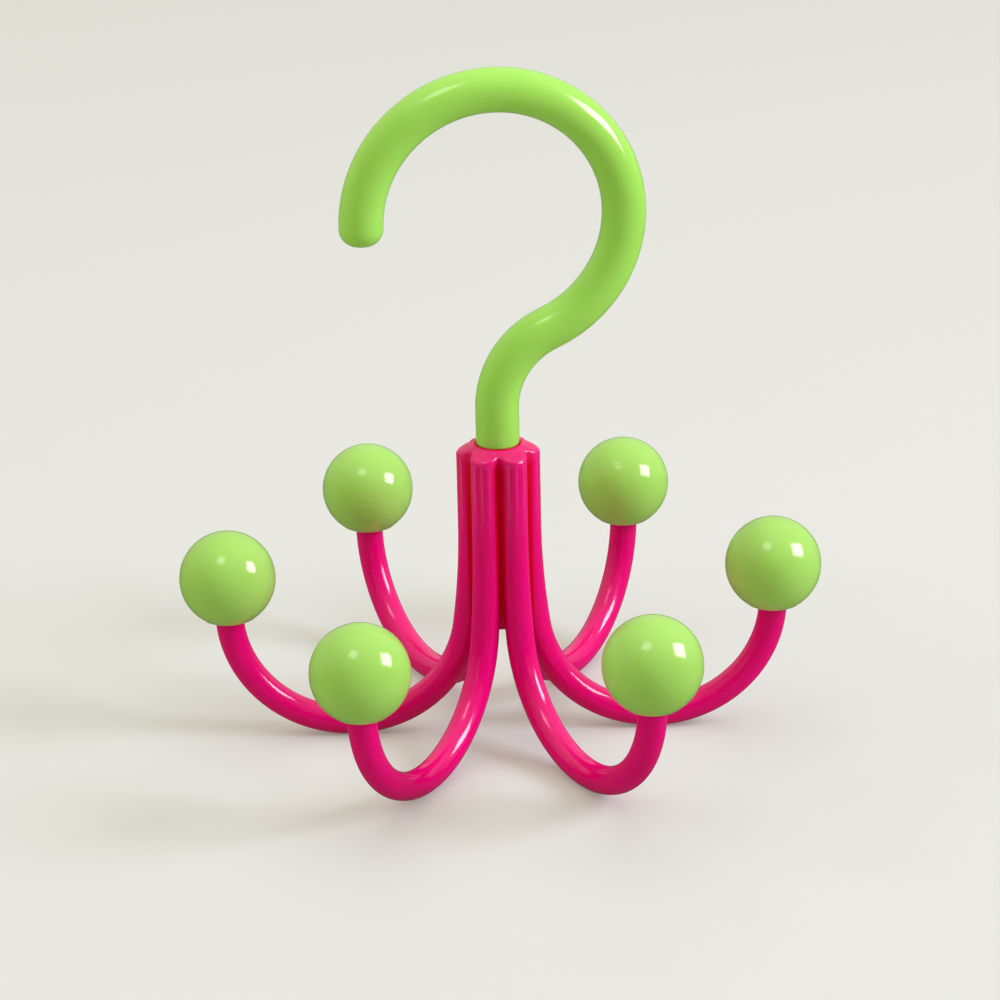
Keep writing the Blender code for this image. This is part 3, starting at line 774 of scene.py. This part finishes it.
def moulded_gloss(name, body, deep, seed, seam_z=None, joint_shade=None):
    """Injection-moulded ABS from a polished mould: a deep even colour with a sharp gloss, the faint waves of
    orange peel, slow tone changes where the melt flowed, and fine rub marks that only a highlight shows.

    At a seam's height a faint pale line is painted on, a painted highlight for the light that the seam's
    edges catch. In the grooves between the rods round the swivel axis and round the shank's foot, where shade
    falls and light comes only off the plastic, a deeper red is painted as shade, with little shine, and the
    hub's crown is duller than the rest."""
    material, tree, shader, coords = new_finish(name)
    shader.inputs["IOR"].default_value = 1.52
    here = add(tree, "ShaderNodeMapping", {"Vector": coords, "Location": (seed, seed / 2, seed / 3)})
    flow = add(tree, "ShaderNodeTexNoise", {"Vector": here, "Scale": 1 / FLOW_SIZE, "Detail": 3.0})
    tone = add(tree, "ShaderNodeMapRange", {0: flow.outputs[0], 1: 0.35, 2: 0.65, 3: 0.0, 4: 1.0})
    colour = add(
        tree,
        "ShaderNodeMixRGB",
        {"Fac": tone, "Color1": linear(deep), "Color2": linear(body)},
    )
    # A painted highlight: a faint pale line at the seam's height, for the light that the seam's rounded edges
    # catch, patchy along its length
    if seam_z is not None:
        height = add(tree, "ShaderNodeSeparateXYZ", {"Vector": coords}).outputs["Z"]
        off = add(tree, "ShaderNodeMath", {0: height, 1: seam_z}, operation="SUBTRACT")
        off = add(tree, "ShaderNodeMath", {0: off}, operation="ABSOLUTE")
        seam_highlight_band = add(tree, "ShaderNodeMapRange", {0: off, 1: 0.05 * MM, 2: 0.2 * MM, 3: 0.06, 4: 0.0})
        patchy = add(
            tree,
            "ShaderNodeTexNoise",
            {"Vector": here, "Scale": 1 / SEAM_HIGHLIGHT_PATCH_SIZE, "Detail": 1.0},
        )
        shown = add(tree, "ShaderNodeMapRange", {0: patchy.outputs[0], 1: 0.4, 2: 0.6, 3: 0.25, 4: 1.0})
        painted_seam_highlight = add(tree, "ShaderNodeMath", {0: seam_highlight_band, 1: shown}, operation="MULTIPLY")
        colour = add(
            tree,
            "ShaderNodeMixRGB",
            {"Fac": painted_seam_highlight, "Color1": colour, "Color2": linear("#D8F2B4")},
        )
    dulled = None
    # Painted shade: the grooves between the rods and a ring round the shank's foot are mixed to a deeper red,
    # where shade falls and light comes only off the plastic; their shine is turned down too
    if joint_shade is not None:
        spoke = add(tree, "ShaderNodeVectorMath", {0: coords, 1: (1.0, 1.0, 0.0)}, operation="MULTIPLY")
        reach = add(tree, "ShaderNodeVectorMath", {0: spoke}, operation="LENGTH").outputs["Value"]
        groove = add(
            tree,
            "ShaderNodeMapRange",
            {0: reach, 1: JOINT_SHADE_REACH, 2: JOINT_SHADE_END, 3: 1.0, 4: 0.0},
            interpolation_type="SMOOTHSTEP",
        )
        height = add(tree, "ShaderNodeSeparateXYZ", {"Vector": coords}).outputs["Z"]
        for end, fade in ((CROWN_TOP_Z, -JOINT_SHADE_FADE), (HUB_BOTTOM_Z, JOINT_SHADE_FADE)):
            limit = add(tree, "ShaderNodeMapRange", {0: height, 1: end, 2: end + fade, 3: 0.0, 4: 1.0})
            groove = add(tree, "ShaderNodeMath", {0: groove, 1: limit}, operation="MULTIPLY")
        foot = add(
            tree,
            "ShaderNodeMapRange",
            {0: reach, 1: FOOT_SHADE_REACH, 2: FOOT_SHADE_END, 3: 1.0, 4: 0.0},
        )
        # The painted shade covers both the grooves and the ring round the shank's foot
        near = add(tree, "ShaderNodeMath", {0: groove, 1: foot}, operation="MAXIMUM")
        colour = add(tree, "ShaderNodeMixRGB", {"Fac": near, "Color1": colour, "Color2": linear(joint_shade)})
        shine = add(tree, "ShaderNodeMapRange", {0: near, 1: 0.0, 2: 1.0, 3: 0.5, 4: JOINT_SHINE})
        tree.links.new(shine.outputs[0], shader.inputs["Specular IOR Level"])
        low, high = CROWN_TOP_Z - CROWN_DULL_FROM, CROWN_TOP_Z - CROWN_DULL_TO
        dulled = add(tree, "ShaderNodeMapRange", {0: height, 1: low, 2: high, 3: 0.0, 4: CROWN_DULLNESS})
    tree.links.new(colour.outputs[0], shader.inputs["Base Color"])

    # Rub marks, drawn wider than the real hairlines, which would be lost at this distance
    marks = []
    long, wide, apart = 1 / MARK_LENGTH, 1 / MARK_WIDTH, 1 / MARK_SPACING
    for turn, stretch in ((0.5, (long, wide, apart)), (2.1, (wide, long, apart))):
        lay = add(
            tree,
            "ShaderNodeMapping",
            {"Vector": here, "Rotation": (turn, 0.3, turn), "Scale": stretch},
        )
        grain = add(tree, "ShaderNodeTexNoise", {"Vector": lay, "Scale": 1.0, "Detail": 1.0})
        marks.append(add(tree, "ShaderNodeMapRange", {0: grain.outputs[0], 1: 0.68, 2: 0.78, 3: 0.0, 4: 1.0}))
    rubbed = add(tree, "ShaderNodeMath", {0: marks[0], 1: marks[1]}, operation="MAXIMUM")
    patch = add(tree, "ShaderNodeTexNoise", {"Vector": here, "Scale": 1 / RUB_PATCH_SIZE, "Detail": 2.0})
    dull = add(tree, "ShaderNodeMapRange", {0: patch.outputs[0], 1: 0.45, 2: 0.7, 3: 0.0, 4: 1.0})
    where = add(tree, "ShaderNodeMath", {0: rubbed, 1: dull}, operation="MULTIPLY")
    base = add(tree, "ShaderNodeMapRange", {0: patch.outputs[0], 1: 0.3, 2: 0.7, 3: GLOSS[0], 4: GLOSS[1]})
    rough = add(tree, "ShaderNodeMath", {0: where, 1: MARK_DULLNESS, 2: base}, operation="MULTIPLY_ADD")
    if dulled is not None:
        rough = add(tree, "ShaderNodeMath", {0: rough, 1: dulled}, operation="ADD")
    tree.links.new(rough.outputs[0], shader.inputs["Roughness"])

    # Orange peel: shallow waves
    peel = add(
        tree,
        "ShaderNodeTexNoise",
        {"Vector": here, "Scale": 1 / PEEL_SIZE, "Detail": 1.0, "Roughness": 0.4},
    )
    relief = add(tree, "ShaderNodeMath", {0: where, 1: -0.08, 2: peel.outputs[0]}, operation="MULTIPLY_ADD")
    bump = add(tree, "ShaderNodeBump", {"Height": relief, "Strength": 0.35, "Distance": PEEL_HEIGHT})
    tree.links.new(bump.outputs[0], shader.inputs["Normal"])
    return material


def zinc_plate():
    """Zinc-plated steel: cool pale grey metal with the fine rings of turning and a cloudy plating."""
    material, tree, shader, coords = new_finish("zinc_plated_steel")
    shader.inputs["Metallic"].default_value = 1.0
    cloud = add(tree, "ShaderNodeTexNoise", {"Vector": coords, "Scale": 1 / CLOUD_SIZE, "Detail": 3.0})
    colour = add(
        tree,
        "ShaderNodeMixRGB",
        {"Fac": cloud.outputs[0], "Color1": linear("#A9ADB2"), "Color2": linear("#C9CCCE")},
    )
    tree.links.new(colour.outputs[0], shader.inputs["Base Color"])
    rough = add(tree, "ShaderNodeMapRange", {0: cloud.outputs[0], 1: 0.3, 2: 0.7, 3: 0.24, 4: 0.4})
    tree.links.new(rough.outputs[0], shader.inputs["Roughness"])
    rings = add(
        tree,
        "ShaderNodeTexWave",
        {"Vector": coords, "Scale": math.tau / 20 / RING_PITCH, "Distortion": 0.6},
        wave_type="RINGS",
        rings_direction="Z",
    )
    bump = add(
        tree,
        "ShaderNodeBump",
        {"Height": rings.outputs[1], "Strength": 0.25, "Distance": RING_HEIGHT},
    )
    tree.links.new(bump.outputs[0], shader.inputs["Normal"])
    return material


lime_rod = moulded_gloss("lime_gloss_moulded_abs", "#A4E25D", "#9EDC56", 0.31)
# Its seam carries a painted highlight, a faint pale line at the knob's middle height
lime_knob = moulded_gloss("pale_lime_gloss_moulded_abs", "#A4D763", "#9ED15C", 0.87, KNOB_Z)
# Its deeper red is painted shade in the grooves between the rods and round the shank's foot
magenta = moulded_gloss("magenta_gloss_moulded_abs", "#E90074", "#E2006E", 1.7, joint_shade="#D8002B")
steel = zinc_plate()


def hand_over(obj, finish, slot, body, *nodes):
    """Gives the piece its finish, its body and the nodes that it stands for."""
    if not obj.data.materials:
        obj.data.materials.append(finish)
    obj.data.materials[0] = finish
    bpy.context.scene.collection.objects.link(obj)
    workshop.objects.unlink(obj)
    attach(obj, body)
    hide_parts(*nodes)


# The pieces

sweep = rod_tree()
arm_section = new_piece("arm_section", section_mesh(ARM_RADIUS, ARM_SIDES))
rod_section = new_piece("rod_section", section_mesh(ROD_RADIUS, ROD_SIDES))

arm = make_arm(sweep, arm_section, magenta)
cup = make_cup()
cap = make_cap()
for number in range(1, ARM_COUNT + 1):
    turn = Matrix.Rotation(arm_turn(number), 4, "Z")
    at_knob = turn @ Matrix.Translation((KNOB_REACH, 0.0, KNOB_Z))
    arm_copy = place(new_piece(f"arm_{number}_smooth", arm.data.copy()), turn)
    hand_over(arm_copy, magenta, "magenta_plastic", "claw", f"arm_{number}")
    for half, label in ((cup, "cup"), (cap, "cap")):
        half_copy = place(new_piece(f"knob_{label}_{number}_smooth", half.data.copy()), at_knob)
        hand_over(half_copy, lime_knob, "lime_plastic", "claw", f"knob_{label}_{number}")

core = make_core()
core.name = "hub_core_smooth"
hand_over(core, magenta, "magenta_plastic", "claw", "hub_core")

hook = make_hook(sweep, rod_section, lime_rod)
hand_over(hook, lime_rod, "lime_plastic", "hook", "swivel_hook")
washer = make_washer()
hand_over(washer, steel, "screw_steel", "hook", "retaining_washer")
screw = make_screw(steel)
hand_over(screw, steel, "screw_steel", "hook", "retaining_screw")
drop(arm, cup, cap, arm_section, rod_section)
bpy.data.collections.remove(workshop)

# Floor, light and camera

FLOOR_HALF = 8.0
FLOOR_NEAR = 0.9
FLOOR_FAR = 2.0
floor_mesh = bpy.data.meshes.new("floor")
floor_corners = [(FLOOR_HALF * x, FLOOR_HALF * y, 0.0) for x, y in ((-1, -1), (1, -1), (1, 1), (-1, 1))]
floor_mesh.from_pydata(floor_corners, [], [(0, 1, 2, 3)])
floor = bpy.data.objects.new("floor", floor_mesh)
bpy.context.scene.collection.objects.link(floor)
floor_finish, floor_tree, floor_shader, floor_coords = new_finish("pale_satin_tabletop")
floor_out = next(node for node in floor_tree.nodes if node.type == "OUTPUT_MATERIAL")
floor_ray = add(floor_tree, "ShaderNodeLightPath").outputs
# The top is pale to the eye, and gives less light back than that to the parts above it
floor_colour = add(
    floor_tree,
    "ShaderNodeMixRGB",
    {"Fac": floor_ray["Is Camera Ray"], "Color1": linear("#C4C3BD"), "Color2": linear("#CBCFCA")},
)
floor_tree.links.new(floor_colour.outputs[0], floor_shader.inputs["Base Color"])
floor_shader.inputs["Roughness"].default_value = 0.5
floor_shader.inputs["Specular IOR Level"].default_value = 0.1
floor_glow = add(floor_tree, "ShaderNodeEmission", {"Color": linear("#FCF3EC"), "Strength": 1.0})
floor_eye = add(floor_tree, "ShaderNodeMath", {0: floor_ray["Is Camera Ray"], 1: 0.22}, operation="MULTIPLY")
floor_seen = add(floor_tree, "ShaderNodeMixShader", {0: floor_eye, 1: floor_shader, 2: floor_glow})
# In the gloss it is bright behind the part and dim before it, where the room is dark
floor_place = add(floor_tree, "ShaderNodeSeparateXYZ", {"Vector": floor_coords}).outputs
floor_gleam = add(
    floor_tree,
    "ShaderNodeMapRange",
    {0: floor_place["Y"], 1: -0.05, 2: 0.25, 3: 0.08, 4: 0.26},
)
floor_mirror = add(floor_tree, "ShaderNodeEmission", {"Color": linear("#EAEAE2"), "Strength": floor_gleam})
floor_mix = add(
    floor_tree,
    "ShaderNodeMixShader",
    {0: floor_ray["Is Glossy Ray"], 1: floor_seen, 2: floor_mirror},
)
# Far from the part, past what the photograph shows, it passes softly into the backdrop
floor_reach = add(floor_tree, "ShaderNodeVectorMath", {0: floor_coords}, operation="LENGTH").outputs["Value"]
floor_far = add(
    floor_tree,
    "ShaderNodeMapRange",
    {0: floor_reach, 1: FLOOR_NEAR, 2: FLOOR_FAR, 3: 0.0, 4: 1.0},
)
floor_faded = add(
    floor_tree,
    "ShaderNodeMath",
    {0: floor_far, 1: floor_ray["Is Camera Ray"]},
    operation="MULTIPLY",
)
floor_clear = add(floor_tree, "ShaderNodeBsdfTransparent")
floor_mix = add(floor_tree, "ShaderNodeMixShader", {0: floor_faded, 1: floor_mix, 2: floor_clear})
floor_tree.links.new(floor_mix.outputs[0], floor_out.inputs["Surface"])
floor_mesh.materials.append(floor_finish)

AIM = Vector((0.0, 0.0, 0.04))
KEY_DIRECTION = Vector((0.832, -0.196, 0.527)).normalized()
KEY_UP = Vector((-0.209, 0.740, 0.639))
KEY_GLINT_DISTANCE = 0.6
KEY_DISTANCE = 2.4
TOP_DIRECTION = Vector((-0.22, -0.382, 0.9)).normalized()
TOP_DISTANCE = 1.3
OVERHEAD_DIRECTION = Vector((0.0, -0.1, 1.0)).normalized()
OVERHEAD_DISTANCE = 1.6
REAR_DIRECTION = Vector((0.0, 0.6, 0.8))
FILL_DIRECTION = Vector((-0.9, 0.0, 0.45)).normalized()


def soft_box(name, direction, distance, width, height, power, up=(0.0, 0.0, 1.0), colour="#FFFFFF"):
    """A rectangular soft light that faces the object, with its height along the up direction."""
    data = bpy.data.lights.new(name, "AREA")
    data.shape = "RECTANGLE"
    data.size = width
    data.size_y = height
    data.energy = power
    data.color = linear(colour)[:3]
    lamp = bpy.data.objects.new(name, data)
    across = Vector(up).cross(direction).normalized()
    facing = Matrix((across, direction.cross(across), direction)).transposed().to_4x4()
    lamp.matrix_world = Matrix.Translation(AIM + direction * distance) @ facing
    bpy.context.scene.collection.objects.link(lamp)
    return lamp


# The window is seen in the gloss from close by, as its streak on the hook shows, and lights evenly from afar,
# a little cooler than the room
for lamp in (
    soft_box("key_glint", KEY_DIRECTION, KEY_GLINT_DISTANCE, 0.25, 0.25, 3.0, KEY_UP),
    soft_box("top_glint", TOP_DIRECTION, TOP_DISTANCE, 0.4, 0.4, 1.9),
):
    lamp.visible_diffuse = False
for lamp in (
    soft_box("key_window", KEY_DIRECTION, KEY_DISTANCE, 1.1, 1.2, 62.0, KEY_UP, "#E4E7FF"),
    soft_box("overhead", OVERHEAD_DIRECTION, OVERHEAD_DISTANCE, 1.8, 1.8, 11.4),
    soft_box("rear_overhead", REAR_DIRECTION, OVERHEAD_DISTANCE, 1.4, 1.4, 4.75),
    soft_box("left_fill", FILL_DIRECTION, OVERHEAD_DISTANCE, 1.4, 1.4, 9.5),
):
    lamp.visible_glossy = False

world = bpy.data.worlds.new("pale_room")
bpy.context.scene.world = world
world.use_nodes = True
room = world.node_tree
room.nodes.clear()
ray = add(room, "ShaderNodeLightPath").outputs
seen = add(
    room,
    "ShaderNodeMath",
    {0: ray["Is Camera Ray"], 1: ray["Is Transmission Ray"]},
    operation="MAXIMUM",
)
backdrop = add(room, "ShaderNodeBackground", {"Color": linear("#EAEAE2"), "Strength": 1.0})
ambient = add(room, "ShaderNodeBackground", {"Color": linear("#FFF0BF"), "Strength": 0.345})
# In the gloss the room is bright behind and above the part and dim before it
look = add(room, "ShaderNodeTexCoord").outputs["Generated"]
side = add(room, "ShaderNodeVectorMath", {0: look, 1: REAR_DIRECTION}, operation="DOT_PRODUCT")
gleam = add(room, "ShaderNodeMapRange", {0: side.outputs["Value"], 1: -0.3, 2: 0.8, 3: 0.02, 4: 0.8})
gloss = add(room, "ShaderNodeBackground", {"Color": linear("#EAEAE2"), "Strength": gleam})
unseen = add(room, "ShaderNodeMixShader", {0: ray["Is Glossy Ray"], 1: ambient, 2: gloss})
mixed = add(room, "ShaderNodeMixShader", {0: seen, 1: unseen, 2: backdrop})
add(room, "ShaderNodeOutputWorld", {"Surface": mixed})

# The photograph's viewpoint, found from the outlines of the knobs, the arms and the hook
LENS = 116.017
SENSOR = 36.0
CAMERA_AIM = Vector((0.21, -0.0031, 57.1)) * MM
CAMERA_DISTANCE = 732.3 * MM
CAMERA_PITCH = math.radians(21.624)
CAMERA_ROLL = math.radians(1.244)
CAMERA_YAW = math.radians(0.85)

heading = Matrix.Rotation(-CAMERA_YAW, 3, "Z")
forward = heading @ Vector((0.0, math.cos(CAMERA_PITCH), -math.sin(CAMERA_PITCH)))
right = heading @ Vector((1.0, 0.0, 0.0))
upward = right.cross(forward)
facing = Matrix((right, upward, -forward)).transposed() @ Matrix.Rotation(-CAMERA_ROLL, 3, "Z")
camera_data = bpy.data.cameras.new("camera")
camera_data.lens = LENS
camera_data.sensor_width = SENSOR
camera_data.clip_end = 20.0
camera = bpy.data.objects.new("camera", camera_data)
camera.matrix_world = Matrix.Translation(CAMERA_AIM - forward * CAMERA_DISTANCE) @ facing.to_4x4()
bpy.context.scene.collection.objects.link(camera)
bpy.context.scene.camera = camera
bpy.context.scene.view_settings.view_transform = "Standard"

bpy.context.view_layer.update()
